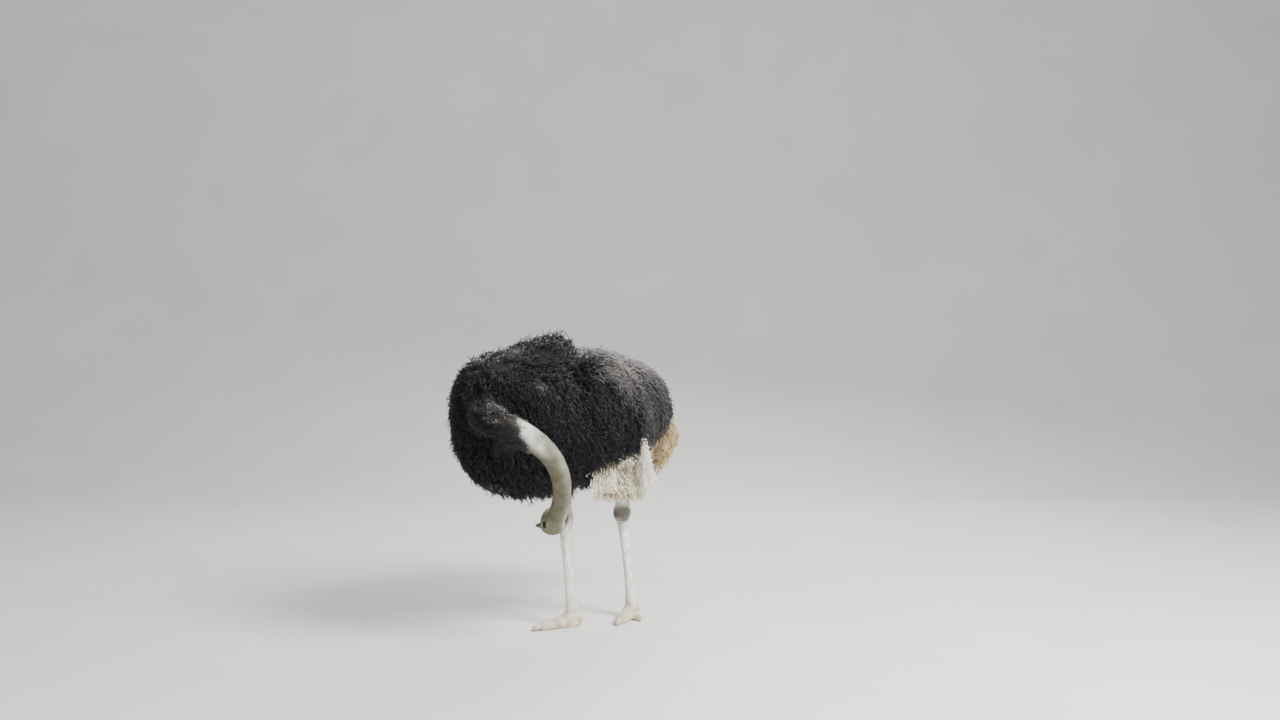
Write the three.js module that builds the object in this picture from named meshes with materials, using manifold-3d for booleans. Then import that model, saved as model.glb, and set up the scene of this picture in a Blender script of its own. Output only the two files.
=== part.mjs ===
// An adult male ostrich, life size, standing in mid stride with its neck swung round its left breast
// and its head hanging upside down under it. Millimetres, +Z up, the bird faces -Y, its left is +X.
import * as THREE from "three";
import Module from "manifold-3d";

const wasm = await Module();
wasm.setup();

// Driving dimensions
const GAP = 0.3; // between pieces that meet
const RING_SIDES = 22; // points round a body of plumage
const BREAST_FRONT = -590;
const TRUNK_BACK = 640;
const MANTLE_TOP = 1392;
const TRUNK_HALF_WIDTH = 368;
const BACK_TOP = 1312;
const BELLY_BOTTOM = 670;
const GROUND = 19; // level of the soles, in the heights used below
const HOCK_HEIGHT = GROUND + 499;
const TOE_JOINT_HEIGHT = GROUND + 56;
const TARSUS_HALF_WIDTH = 20;
const BIG_TOE_LENGTH = 205;
const SMALL_TOE_LENGTH = 118;
const NECK_RADIUS_AT_HEAD = 39;
const EYE_RADIUS = 21;
const BILL_LENGTH = 66;
const HEAD_ROLL = 4; // degrees, crown towards the bird's right eye

const V = (x, y, z) => new THREE.Vector3(x, y, z);
const lerp = THREE.MathUtils.lerp;

// Turns rings of points, all of one length, into a closed solid capped by a fan at each end.
function solidFromRings(rings) {
  const sides = rings[0].length;
  const points = rings.flat();
  const tris = [];
  for (let r = 0; r + 1 < rings.length; r++) {
    for (let s = 0; s < sides; s++) {
      const a = r * sides + s;
      const b = r * sides + ((s + 1) % sides);
      tris.push(a, b, b + sides, a, b + sides, a + sides);
    }
  }
  const middle = (ring) => ring.reduce((sum, p) => sum.add(p), V(0, 0, 0)).divideScalar(sides);
  const first = points.push(middle(rings[0])) - 1;
  const last = points.push(middle(rings.at(-1))) - 1;
  const lastRing = (rings.length - 1) * sides;
  for (let s = 0; s < sides; s++) {
    const next = (s + 1) % sides;
    tris.push(first, next, s, last, lastRing + s, lastRing + next);
  }
  const build = () =>
    new wasm.Manifold(
      new wasm.Mesh({
        numProp: 3,
        vertProperties: new Float32Array(points.flatMap((p) => [p.x, p.y, p.z])),
        triVerts: new Uint32Array(tris),
      }),
    );
  let solid = build();
  if (solid.volume() < 0) {
    for (let t = 0; t < tris.length; t += 3) {
      [tris[t + 1], tris[t + 2]] = [tris[t + 2], tris[t + 1]];
    }
    solid = build();
  }
  return solid;
}

// One value of a smooth run through the stations' values, at station number t.
function along(values, t) {
  const i = Math.min(Math.floor(t), values.length - 2);
  const pick = (k) => values[THREE.MathUtils.clamp(k, 0, values.length - 1)];
  const u = t - i;
  const [p0, p1, p2, p3] = [pick(i - 1), pick(i), pick(i + 1), pick(i + 2)];
  const m1 = (p2 - p0) / 2;
  const m2 = (p3 - p1) / 2;
  const u2 = u * u;
  const u3 = u2 * u;
  return (2 * u3 - 3 * u2 + 1) * p1 + (u3 - 2 * u2 + u) * m1 + (3 * u2 - 2 * u3) * p2 + (u3 - u2) * m2;
}

// A body lofted through stations. Each station is its place, the direction of its side, its half width,
// and its depth above and below its own middle; up is side x direction of travel.
function loft({ stations, side, steps = 2, sides = RING_SIDES, power = 2 }, grow = 0) {
  const column = (k) => stations.map((s) => s[k]);
  const sideOf = stations.map((s) => s[6] ?? side);
  const count = (stations.length - 1) * steps;
  const at = (t) => V(along(column(0), t), along(column(1), t), along(column(2), t));
  const rings = [];
  for (let k = 0; k <= count; k++) {
    const t = k / steps;
    const middle = at(t);
    const ahead = at(Math.min(t + 0.02, stations.length - 1));
    const travel = ahead.sub(at(Math.max(t - 0.02, 0))).normalize();
    const across = V(...[0, 1, 2].map((a) => along(sideOf.map((s) => s[a]), t)));
    across.addScaledVector(travel, -across.dot(travel)).normalize();
    const up = across.clone().cross(travel);
    const w = along(column(3), t) + grow;
    const above = along(column(4), t) + grow;
    const below = along(column(5), t) + grow;
    if (k === 0) middle.addScaledVector(travel, -grow);
    if (k === count) middle.addScaledVector(travel, grow);
    const ring = [];
    for (let s = 0; s < sides; s++) {
      const angle = (2 * Math.PI * s) / sides;
      const c = Math.cos(angle);
      const n = Math.sin(angle);
      const out = (v) => Math.sign(v) * Math.abs(v) ** (2 / power);
      ring.push(
        middle
          .clone()
          .addScaledVector(across, w * out(c))
          .addScaledVector(up, (n > 0 ? above : below) * out(n)),
      );
    }
    rings.push(ring);
  }
  return solidFromRings(rings);
}

// The largest single body of a solid.
function largest(solid) {
  const bodies = solid.decompose();
  return bodies.reduce((a, b) => (b.volume() > a.volume() ? b : a));
}

// A body cut back by every neighbour that is already there, each grown by the gap.
function clearOf(solid, cutters) {
  return largest(cutters.reduce((left, cutter) => left.subtract(cutter), solid));
}

// The lengths of a body parted by planes, each given as a point and the direction of travel.
function lengths(solid, planes) {
  const parts = [];
  let rest = solid;
  for (const [point, travel] of planes) {
    const n = travel.clone().normalize();
    const d = point.dot(n);
    parts.push(largest(rest.trimByPlane([-n.x, -n.y, -n.z], -d + GAP / 2)));
    rest = rest.trimByPlane([n.x, n.y, n.z], d + GAP / 2);
  }
  parts.push(largest(rest));
  return parts;
}

const ostrich = new THREE.Group();
ostrich.name = "ostrich";

// Adds a solid to the group as a named mesh.
function add(name, solid, color, roughness) {
  const { numProp, vertProperties, triVerts } = solid.getMesh();
  const xyz = new Float32Array((vertProperties.length / numProp) * 3);
  for (let i = 0; i < xyz.length / 3; i++) {
    xyz.set(vertProperties.subarray(i * numProp, i * numProp + 3), i * 3);
  }
  const geometry = new THREE.BufferGeometry();
  geometry.setAttribute("position", new THREE.BufferAttribute(xyz, 3));
  geometry.setIndex(new THREE.BufferAttribute(new Uint32Array(triVerts), 1));
  const mesh = new THREE.Mesh(geometry, new THREE.MeshStandardMaterial({ color, roughness }));
  mesh.name = name;
  ostrich.add(mesh);
}

const BLACK_PLUMAGE = 0x17161a;
const GREY_PLUMAGE = 0x6b655f;
const WHITE_PLUMAGE = 0xe6dfcc;
const TAIL_PLUMAGE = 0xb7a27c;
const DOWN = 0xc9c1b3;
const BARE_SKIN = 0xbfb0a6;
const HORN = 0x8f8f8c;
const EYE_BROWN = 0x2a1a12;

// Breast and mantle: the deep front of the body, ending behind in a cape whose two edges meet in a V on
// the back and stand up there as a tuft of feather tips
const breastSpec = {
  side: [1, 0, 0],
  power: 2.4,
  stations: [
    [0, BREAST_FRONT, 1000, 66, 75, 75],
    [0, BREAST_FRONT + 28, 1002, 158, 186, 190],
    [0, BREAST_FRONT + 95, 1006, 236, 264, 290],
    [0, -400, 1008, 294, 284, 340],
    [0, -300, 1005, 332, 296, 356],
    [0, -190, 1000, TRUNK_HALF_WIDTH - 6, 338, 356],
    [0, -80, 995, TRUNK_HALF_WIDTH - 4, 374, 340],
    [0, 70, 990, TRUNK_HALF_WIDTH - 8, MANTLE_TOP - 990, 304],
  ],
};
const capeEdge = { middle: V(0, 22, 1360), outward: [0.754, 0.59, 0.291] };

// What lies in front of both edges of the cape, moved back by a distance.
function inFrontOfCape(solid, shift) {
  return [1, -1].reduce((left, s) => {
    const [x, y, z] = capeEdge.outward;
    const n = V(s * x, y, z).normalize();
    return left.trimByPlane([-n.x, -n.y, -n.z], -capeEdge.middle.dot(n) - shift);
  }, solid);
}
const breast = inFrontOfCape(loft(breastSpec), 0);
const breastCut = inFrontOfCape(loft(breastSpec, GAP), GAP);
add("breast", breast, BLACK_PLUMAGE, 0.8);

// Back and rump: from inside the cape to the root of the tail
const backSpec = {
  side: [1, 0, 0],
  power: 2.15,
  stations: [
    [0, -330, 985, 300, 280, 270],
    [0, -200, 985, TRUNK_HALF_WIDTH - 20, 310, 300],
    [0, -40, 985, TRUNK_HALF_WIDTH - 8, BACK_TOP - 985, 985 - BELLY_BOTTOM],
    [0, 140, 988, TRUNK_HALF_WIDTH - 20, 320, 284],
    [0, 310, 992, 317, 290, 226],
    [0, 460, 990, 258, 238, 170],
    [0, 575, 985, 180, 165, 118],
    [0, TRUNK_BACK, 975, 62, 60, 50],
  ],
};
const backCut = loft(backSpec, GAP);
const [back, rump] = lengths(clearOf(loft(backSpec), [breastCut]), [[V(0, 260, 0), V(0, 1, 0)]]);
add("back", back, GREY_PLUMAGE, 0.8);
add("rump", rump, BLACK_PLUMAGE, 0.8);
const trunkCuts = [breastCut, backCut];

// Neck: out of the breast, round to the bird's left, down, and in under the breast
const neckSpec = {
  sides: 18,
  stations: [
    [0, -420, 1015, 120, 105, 115, [-1, 0, 0]],
    [65, -560, 1034, 92, 84, 92, [-1, -0.4, 0]],
    [180, -622, 1012, 74, 72, 76, [-0.5, -1, 0]],
    [298, -598, 966, 58, 60, 62, [0, -1, 0]],
    [380, -556, 918, 50, 50, 50, [0.3, -1, 0]],
    [413, -500, 845, 45, 44, 44, [0.5, -1, 0]],
    [395, -438, 755, 42, 41, 42, [0.5, -1, 0]],
    [340, -381, 668, NECK_RADIUS_AT_HEAD + 1, 40, 41, [0.2, -1, 0]],
    [290, -354, 592, NECK_RADIUS_AT_HEAD + 3, 41, 44, [-0.1, -1, 0]],
  ],
};
const neck = loft(neckSpec);
const neckCut = loft(neckSpec, GAP);
const neckPieces = lengths(clearOf(neck, trunkCuts), [
  [V(255, -612, 985), V(0.85, 0.15, -0.4)],
  [V(411, -520, 872), V(0.3, 0.5, -0.85)],
]);
add("neck_base", neckPieces[0], BLACK_PLUMAGE, 0.8);
add("neck_middle", neckPieces[1], DOWN, 0.8);
add("neck_upper", neckPieces[2], DOWN, 0.8);

// Head: bill towards the bird's right and back, crown turned down.
// Head stations run from the back of the skull to the bill: forward, half width, crown side, throat side.
const headMiddle = V(221, -317, 545);
const billwards = V(-0.964, 0.15, -0.2).normalize();
const crownwards = V(0, 0, -1);
crownwards.addScaledVector(billwards, -crownwards.dot(billwards)).normalize();
crownwards.applyAxisAngle(billwards, THREE.MathUtils.degToRad(HEAD_ROLL));
const headRight = billwards.clone().cross(crownwards);

function headPoint(forward, up, right = 0) {
  return headMiddle
    .clone()
    .addScaledVector(billwards, forward)
    .addScaledVector(crownwards, up)
    .addScaledVector(headRight, right);
}

// A loft along the head's own axis. Each section: forward, height of its middle, half width, above, below.
function headLoft(sections, sides, power, grow = 0) {
  const stations = sections.map(([forward, height, w, above, below]) => {
    const p = headPoint(forward, height);
    return [p.x, p.y, p.z, w, above, below];
  });
  const side = crownwards.clone().cross(billwards).negate();
  const across = side.dot(headRight) > 0 ? side : side.negate();
  const up = across.clone().cross(billwards);
  if (up.dot(crownwards) < 0) across.negate();
  return loft({ stations, side: [across.x, across.y, across.z], sides, power }, grow);
}

const skullSections = [
  [-60, 0, 26, 24, 42],
  [-50, 0, 38, 36, 60],
  [-30, 0, 46, 48, 72],
  [-8, 0, 48, 51, 76],
  [12, 0, 46, 48, 73],
  [29, 0, 41, 42, 63],
  [44, 0, 35, 31, 48],
];
const billSections = (heights) =>
  [
    [38, 28.5],
    [58, 26],
    [76, 23],
    [94, 17],
    [44 + BILL_LENGTH, 8],
  ].map(([forward, w], i) => [forward, heights[i][0], w, heights[i][1], heights[i][2]]);
const upperBillSections = billSections([[3, 17, 6], [1, 14, 4], [-1, 10, 2], [-3, 8, 1], [-5, 5, 1]]);
const lowerBillSections = billSections([[-4.4, 1, 15], [-4.4, 1, 12], [-4.6, 1, 9], [-5.5, 1, 7], [-7.5, 1, 4]]);
const eyes = [1, -1].map((s) => {
  const p = headPoint(-14, 2, s * 32);
  const eyeball = (r) => wasm.Manifold.sphere(r, 16).translate([p.x, p.y, p.z]);
  return { whole: eyeball(EYE_RADIUS), cut: eyeball(EYE_RADIUS + GAP) };
});
const skull = (grow) => headLoft(skullSections, 16, 2.1, grow);
add("head", clearOf(skull(0), [eyes[0].cut, eyes[1].cut, neckCut]), DOWN, 0.8);
eyes.forEach(({ whole }, i) => add(i === 0 ? "eye_right" : "eye_left", whole, EYE_BROWN, 0.15));
add("bill_upper", clearOf(headLoft(upperBillSections, 12, 2.3), [skull(GAP)]), HORN, 0.5);
add("bill_lower", clearOf(headLoft(lowerBillSections, 12, 2.3), [skull(GAP)]), HORN, 0.5);

// Wings: folded and drooping over each flank, stations from the top of the wing down
function wingSpec(s) {
  const side = [0.1 * s, 1, 0];
  return {
    sides: 20,
    power: 2.2,
    stations: [
      [s * 195, -50, 1296, 30, 40, 40, side],
      [s * 225, -45, 1250, 110, 75, 75, side],
      [s * 268, -30, 1140, 190, 108, 108, side],
      [s * 295, -10, 1000, 235, 112, 112, side],
      [s * 305, 5, 890, 245, 98, 98, side],
      [s * 312, 15, 820, 215, 65, 65, side],
      [s * 312, 20, 788, 150, 28, 28, side],
    ],
  };
}
const wingCuts = [];
for (const [name, s] of [["right", -1], ["left", 1]]) {
  add(`wing_${name}`, clearOf(loft(wingSpec(s)), trunkCuts), BLACK_PLUMAGE, 0.8);
  wingCuts.push(loft(wingSpec(s), GAP));
}

// White wing plumes, hanging from the back of each wing
function plumeSpec(s) {
  const side = [-0.45 * s, 1, 0];
  return {
    sides: 12,
    stations: [
      [s * 285, 232, 900, 14, 10, 10, side],
      [s * 292, 240, 845, 28, 16, 16, side],
      [s * 298, 246, 760, 46, 28, 28, side],
      [s * 298, 244, 680, 48, 30, 30, side],
      [s * 292, 238, 628, 24, 14, 14, side],
    ],
  };
}
const plumeCuts = [];
for (const [name, s] of [["right", -1], ["left", 1]]) {
  const solid = clearOf(loft(plumeSpec(s)), [...trunkCuts, ...wingCuts]);
  add(`plumes_${name}`, solid, WHITE_PLUMAGE, 0.8);
  plumeCuts.push(loft(plumeSpec(s), GAP));
}

// Tail: a short drooping bunch of curled plumes
const tailSpec = {
  side: [1, 0, 0],
  sides: 16,
  stations: [
    [0, 560, 1000, 60, 42, 42],
    [0, 630, 985, 88, 50, 50],
    [0, 700, 938, 100, 52, 52],
    [0, 722, 850, 96, 50, 50],
    [0, 700, 760, 76, 44, 44],
    [0, 668, 690, 30, 20, 20],
  ],
};
add("tail", clearOf(loft(tailSpec), trunkCuts), TAIL_PLUMAGE, 0.8);

// Legs. The left leg trails half a stride behind the right. Thigh stations run from the body down.
const legs = {
  right: {
    thigh: [
      [-105, -90, 868, 110, 125, 120],
      [-69, -70, 775, 104, 118, 108],
      [-27, -47, 715, 98, 110, 102],
      [8, -30, 664, 84, 94, 88],
      [22, -26, 632, 50, 54, 54],
    ],
    hock: V(27, -31, HOCK_HEIGHT),
    toeJoint: V(44, 6, TOE_JOINT_HEIGHT),
    heading: V(-0.3, -0.954, 0),
    outward: -1,
  },
  left: {
    thigh: [
      [220, 120, 868, 110, 125, 120],
      [197, 175, 775, 110, 122, 112],
      [166, 222, 715, 106, 116, 108],
      [139, 257, 664, 92, 100, 94],
      [122, 277, 632, 52, 56, 56],
    ],
    hock: V(101, 292, HOCK_HEIGHT),
    toeJoint: V(124, 333, TOE_JOINT_HEIGHT),
    heading: V(0.36, -0.933, 0),
    outward: 1,
  },
};

for (const [name, leg] of Object.entries(legs)) {
  const { hock, toeJoint, outward } = leg;
  const heading = leg.heading.clone().normalize();
  const legSide = [heading.y, -heading.x, 0];
  const between = (p, q, t) => [lerp(p.x, q.x, t), lerp(p.y, q.y, t), lerp(p.z, q.z, t)];
  const thighSpec = { stations: leg.thigh, side: legSide, sides: 18 };
  const thigh = clearOf(loft(thighSpec), [...trunkCuts, ...wingCuts, ...plumeCuts]);
  add(`thigh_${name}`, thigh, WHITE_PLUMAGE, 0.8);

  // Shank: the bare end of the leg above the hock, with the hock's knob. Above is the front of the leg.
  const shankTop = V(...leg.thigh.at(-1)).setZ(HOCK_HEIGHT + 124);
  const shankSpec = {
    side: legSide,
    sides: 16,
    stations: [
      [shankTop.x, shankTop.y, shankTop.z, 33, 38, 40],
      [...between(shankTop, hock, 0.5), 31, 34, 38],
      [...between(shankTop, hock, 0.85), 42, 38, 44],
      [...between(shankTop, hock, 1.05), 44, 37, 48],
      [...between(hock, toeJoint, 0.07), 34, 32, 40],
    ],
  };
  add(`shank_${name}`, clearOf(loft(shankSpec), [loft(thighSpec, GAP)]), BARE_SKIN, 0.6);

  const tarsusTop = V(...between(hock, toeJoint, 0.06));
  const tarsusSpec = {
    side: legSide,
    sides: 16,
    stations: [
      [tarsusTop.x, tarsusTop.y, tarsusTop.z, 32, 31, 38],
      [...between(tarsusTop, toeJoint, 0.13), 25, 27, 32],
      [...between(tarsusTop, toeJoint, 0.35), TARSUS_HALF_WIDTH, 24, 26],
      [...between(tarsusTop, toeJoint, 0.65), TARSUS_HALF_WIDTH, 24, 27],
      [...between(tarsusTop, toeJoint, 0.87), TARSUS_HALF_WIDTH + 4, 28, 30],
      [...between(tarsusTop, toeJoint, 0.96), TARSUS_HALF_WIDTH + 9, 31, 33],
    ],
  };
  add(`tarsus_${name}`, clearOf(loft(tarsusSpec), [loft(shankSpec, GAP)]), BARE_SKIN, 0.6);
  const tarsusCut = loft(tarsusSpec, GAP);

  // Toes: one great toe that carries the weight on a broad flat pad, and a short outer one.
  // Toe stations: forward of the joint, height of the middle, half width, above, below.
  const ground = ([forward, height, w, above, below], direction, start) => {
    const p = start.clone().addScaledVector(direction, forward);
    return [p.x, p.y, GROUND + height, w, above, below];
  };
  const flatFoot = (spec, grow = 0) => loft(spec, grow).trimByPlane([0, 0, 1], GROUND);
  const onGround = V(toeJoint.x, toeJoint.y, 0);
  const bigToe = {
    side: legSide,
    sides: 14,
    steps: 1,
    power: 2.3,
    stations: [
      [-46, 36, 16, 16, 20],
      [-32, 38, 29, 32, 46],
      [2, 39, 34, 39, 50],
      [45, 31, 31, 30, 42],
      [90, 24, 28, 24, 34],
      [130, 22, 29, 22, 32],
      [160, 19, 25, 17, 28],
      [BIG_TOE_LENGTH - 30, 16, 14, 10, 20],
    ].map((s) => ground(s, heading, onGround)),
  };
  add(`toe_big_${name}`, clearOf(flatFoot(bigToe), [tarsusCut]), BARE_SKIN, 0.6);

  const spread = heading.clone().applyAxisAngle(V(0, 0, 1), outward * THREE.MathUtils.degToRad(42));
  const smallToe = {
    side: [spread.y, -spread.x, 0],
    sides: 12,
    steps: 1,
    power: 2.2,
    stations: [
      [8, 33, 20, 20, 38],
      [45, 24, 19, 18, 32],
      [80, 18, 18, 15, 26],
      [SMALL_TOE_LENGTH - 12, 14, 13, 11, 20],
      [SMALL_TOE_LENGTH, 11, 6, 6, 12],
    ].map((s) => ground(s, spread, onGround)),
  };
  const outerToe = clearOf(flatFoot(smallToe), [flatFoot(bigToe, GAP), tarsusCut]);
  add(`toe_outer_${name}`, outerToe, BARE_SKIN, 0.6);

  const claw = {
    side: legSide,
    sides: 10,
    stations: [
      [BIG_TOE_LENGTH - 42, 22, 17, 10, 10],
      [BIG_TOE_LENGTH - 22, 18, 16, 10, 13],
      [BIG_TOE_LENGTH - 5, 12, 12, 8, 11],
      [BIG_TOE_LENGTH + 8, 5, 3, 3, 4],
    ].map((s) => ground(s, heading, onGround)),
  };
  add(`claw_${name}`, clearOf(flatFoot(claw), [flatFoot(bigToe, GAP)]), HORN, 0.5);
}

// The origin is under the middle of the whole bird, on the floor.
const box = new THREE.Box3().setFromObject(ostrich);
const middle = box.getCenter(V(0, 0, 0));
ostrich.position.set(-middle.x, -middle.y, -box.min.z);
ostrich.updateMatrixWorld(true);
export default ostrich;
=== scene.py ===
import math

import bmesh
import bpy
import numpy as np
from mathutils import Matrix, Vector, noise
from mathutils.bvhtree import BVHTree


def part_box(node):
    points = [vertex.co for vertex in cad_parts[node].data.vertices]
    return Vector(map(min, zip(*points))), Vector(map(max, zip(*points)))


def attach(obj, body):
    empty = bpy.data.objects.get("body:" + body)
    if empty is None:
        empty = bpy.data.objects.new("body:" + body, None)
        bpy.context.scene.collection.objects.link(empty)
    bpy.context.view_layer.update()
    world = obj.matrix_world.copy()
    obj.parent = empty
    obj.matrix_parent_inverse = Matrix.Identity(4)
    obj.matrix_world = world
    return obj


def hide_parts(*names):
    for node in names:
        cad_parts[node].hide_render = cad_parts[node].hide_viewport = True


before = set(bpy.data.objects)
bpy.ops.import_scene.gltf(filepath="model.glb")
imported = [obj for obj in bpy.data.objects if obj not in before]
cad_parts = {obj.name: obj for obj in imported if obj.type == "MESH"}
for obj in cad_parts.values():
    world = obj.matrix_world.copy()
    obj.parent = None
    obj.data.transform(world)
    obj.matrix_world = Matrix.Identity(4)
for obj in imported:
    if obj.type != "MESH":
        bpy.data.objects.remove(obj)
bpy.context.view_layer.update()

# The room: a sheet of pale paper swept up behind the bird, a large soft light high on its left, a weak one
# in front, a third high behind its right, and an even grey sky over all. The camera stands at a visitor's
# eye height, six and a half metres off the bird's left shoulder.
CAMERA_PLACE = Vector((4.455, -4.831, 1.441))
CAMERA_TURN = math.radians(40.0)
CAMERA_DIP = math.radians(1.853)
PAPER_WIDTH = 40.0
PAPER_BEHIND = 9.0
PAPER_RISE = 14.0
SWEEP_RADIUS = 4.5
LIGHTS_AIM = Vector((0, 0, 0.9))


def srgb(hex_text):
    """An sRGB hex colour such as "c0a080", turned linear, with full alpha."""
    channels = [int(hex_text[i:i + 2], 16) / 255 for i in (0, 2, 4)]
    return [c / 12.92 if c <= 0.04045 else ((c + 0.055) / 1.055) ** 2.4 for c in channels] + [1.0]


def add_node(tree, kind, settings=None, links=None):
    """Adds a shader node: settings are its properties or input values, links feed its inputs."""
    made = tree.nodes.new(kind)
    for name, value in (settings or {}).items():
        if isinstance(name, str) and hasattr(made, name):
            setattr(made, name, value)
        else:
            made.inputs[name].default_value = value
    for name, socket in (links or {}).items():
        tree.links.new(socket, made.inputs[name])
    return made


def new_finish(name, **settings):
    """A material with one Principled shader, and its tree."""
    material = bpy.data.materials.new(name)
    material.use_nodes = True
    shader = material.node_tree.nodes["Principled BSDF"]
    for socket, value in settings.items():
        shader.inputs[socket.replace("_", " ")].default_value = value
    return material, material.node_tree, shader


bpy.ops.object.camera_add(location=CAMERA_PLACE, rotation=(math.pi / 2 - CAMERA_DIP, 0, CAMERA_TURN))
camera = bpy.context.object
camera.name = "camera"
camera.data.lens = 40
camera.data.sensor_width = 36
camera.data.clip_end = 200
bpy.context.scene.camera = camera

bpy.ops.object.select_all(action="DESELECT")
bpy.ops.mesh.primitive_plane_add(size=PAPER_WIDTH)
paper = bpy.context.object
paper.name = "paper_sweep"
sweep = bmesh.new()
sweep.from_mesh(paper.data)
for corner in sweep.verts:
    if corner.co.y > 0:
        corner.co.y = PAPER_BEHIND
rear = [e for e in sweep.edges if all(v.co.y > PAPER_BEHIND - 0.1 for v in e.verts)]
raised = bmesh.ops.extrude_edge_only(sweep, edges=rear)["geom"]
for corner in raised:
    if isinstance(corner, bmesh.types.BMVert):
        corner.co.z += PAPER_RISE
fold = [e for e in sweep.edges if all(v.co.y > PAPER_BEHIND - 0.1 and v.co.z < 0.1 for v in e.verts)]
bmesh.ops.bevel(sweep, geom=fold, offset=SWEEP_RADIUS, segments=24, profile=0.5, affect="EDGES")
bmesh.ops.rotate(sweep, verts=sweep.verts, cent=(0, 0, 0), matrix=Matrix.Rotation(CAMERA_TURN, 3, "Z"))
bmesh.ops.recalc_face_normals(sweep, faces=sweep.faces)
sweep.to_mesh(paper.data)
sweep.free()
bpy.ops.object.shade_smooth()
# Matt background paper: nearly white, with no gloss and the faintest mottling of its pulp.
paper_white, tree, shader = new_finish("seamless_paper", Roughness=0.95)
place = add_node(tree, "ShaderNodeTexCoord").outputs["Object"]
pulp = add_node(tree, "ShaderNodeTexNoise", {"Scale": 1.4, "Detail": 3}, {"Vector": place})
shades = add_node(tree, "ShaderNodeValToRGB", links={"Fac": pulp.outputs["Fac"]})
for stop, position, colour in zip(shades.color_ramp.elements, (0.3, 0.7), ("d4d2ce", "dad8d4")):
    stop.position = position
    stop.color = srgb(colour)
tree.links.new(shades.outputs["Color"], shader.inputs["Base Color"])
paper.data.materials.append(paper_white)

for name, turn, height, distance, size, power in (
    ("key_light", 90, 4.4, 4.3, 2.2, 790),
    ("fill_light", 12, 3.0, 6.0, 4.0, 66),
    ("back_light", 205, 4.4, 4.6, 3.0, 300),
):
    angle = math.radians(turn)
    spot = Vector((math.sin(angle) * distance, -math.cos(angle) * distance, height))
    aim = (LIGHTS_AIM - spot).to_track_quat("-Z", "Y").to_euler()
    bpy.ops.object.light_add(type="AREA", location=spot, rotation=aim)
    bpy.context.object.name = name
    bpy.context.object.data.size = size
    bpy.context.object.data.energy = power
sky = bpy.data.worlds.new("studio_sky")
bpy.context.scene.world = sky
sky.use_nodes = True
sky.node_tree.nodes["Background"].inputs["Color"].default_value = srgb("e4e8ee")
sky.node_tree.nodes["Background"].inputs["Strength"].default_value = 0.75

# The skin: one surface over neck, head, trunk, wings, thighs, legs and toes. It is loose under the black
# plumes and painted near black there, as painted shade deep in the coat; grey with fine creases on the neck,
# and pale and scaled on the legs. Under the plumage it lies inside the solids by the depth of the coat, and
# on legs and toes it lies just under their faces.
SKIN_STEP = 0.0050
COAT_DEPTH = {
    "breast": 0.030, "back": 0.028, "rump": 0.030, "wing_right": 0.028, "wing_left": 0.028,
    "thigh_right": 0.022, "thigh_left": 0.022, "neck_base": 0.018, "neck_middle": 0.0035,
    "neck_upper": 0.0025, "head": 0.0022, "shank_right": 0.0008, "shank_left": 0.0008,
    "tarsus_right": 0.0004, "tarsus_left": 0.0004, "toe_big_right": 0.0003, "toe_big_left": 0.0003,
    "toe_outer_right": 0.0003, "toe_outer_left": 0.0003,
}
FLESH = list(COAT_DEPTH)
LEG_NODES = [n for n in FLESH if n.startswith(("shank", "tarsus", "toe"))]


def joined_solids(names, swell=0.0):
    """One mesh of several CAD solids, welded, each face pushed out by swell so that neighbours join."""
    mesh = bmesh.new()
    for name in names:
        mesh.from_mesh(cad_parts[name].data)
    bmesh.ops.remove_doubles(mesh, verts=mesh.verts, dist=1e-5)
    mesh.normal_update()
    for vertex in mesh.verts:
        vertex.co += vertex.normal * swell
    return mesh


def placed(name, data):
    """An object at the origin that shows a mesh."""
    made = bpy.data.objects.new(name, data)
    bpy.context.scene.collection.objects.link(made)
    return made


def object_from(mesh, name):
    """An object at the origin that holds a finished bmesh."""
    data = bpy.data.meshes.new(name)
    mesh.to_mesh(data)
    mesh.free()
    return placed(name, data)


def apply_modifier(piece, kind, **settings):
    """Adds one modifier to a piece and applies it."""
    bpy.ops.object.select_all(action="DESELECT")
    bpy.context.view_layer.objects.active = piece
    piece.select_set(True)
    modifier = piece.modifiers.new(kind.lower(), kind)
    for name, value in settings.items():
        setattr(modifier, name, value)
    bpy.ops.object.modifier_apply(modifier=modifier.name)


def table_of(items, what, width, kind=np.float64):
    """What each vertex, edge, face or corner of a mesh holds, as a table that many columns wide."""
    flat = np.empty(len(items) * width, dtype=kind)
    items.foreach_get(what, flat)
    return flat.reshape(-1, width)


def points_of(piece):
    """The vertex places of a piece."""
    return table_of(piece.data.vertices, "co", 3)


def normals_of(piece):
    """The vertex normals of a piece."""
    return table_of(piece.data.vertices, "normal", 3)


def smooth_faces(data):
    """Shades every face of a mesh smooth."""
    data.polygons.foreach_set("use_smooth", np.ones(len(data.polygons), dtype=bool))


def set_points(piece, points):
    """Writes vertex places back and refreshes the normals."""
    piece.data.vertices.foreach_set("co", np.ascontiguousarray(points, dtype=np.float64).ravel())
    piece.data.update()


def relaxed(piece, values, passes, strength=0.5):
    """Values on the vertices, evened out along the edges; strength may differ from vertex to vertex."""
    a, b = table_of(piece.data.edges, "vertices", 2, np.int32).T
    count = len(values)
    share = np.maximum(np.bincount(a, minlength=count) + np.bincount(b, minlength=count), 1)
    values = values.reshape(count, -1).copy()
    strength = np.broadcast_to(np.asarray(strength, dtype=float), (count,))[:, None]
    for _ in range(passes):
        near = np.stack([
            np.bincount(a, column[b], count) + np.bincount(b, column[a], count) for column in values.T
        ], axis=1) / share[:, None]
        values += (near - values) * strength
    return values


def unit(vectors):
    """Vectors of length one."""
    return vectors / np.maximum(np.linalg.norm(vectors, axis=-1, keepdims=True), 1e-9)


def away_from(spot, points):
    """How far each point lies from a spot, or from a spot of its own."""
    return np.linalg.norm(points - spot, axis=1)


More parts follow.
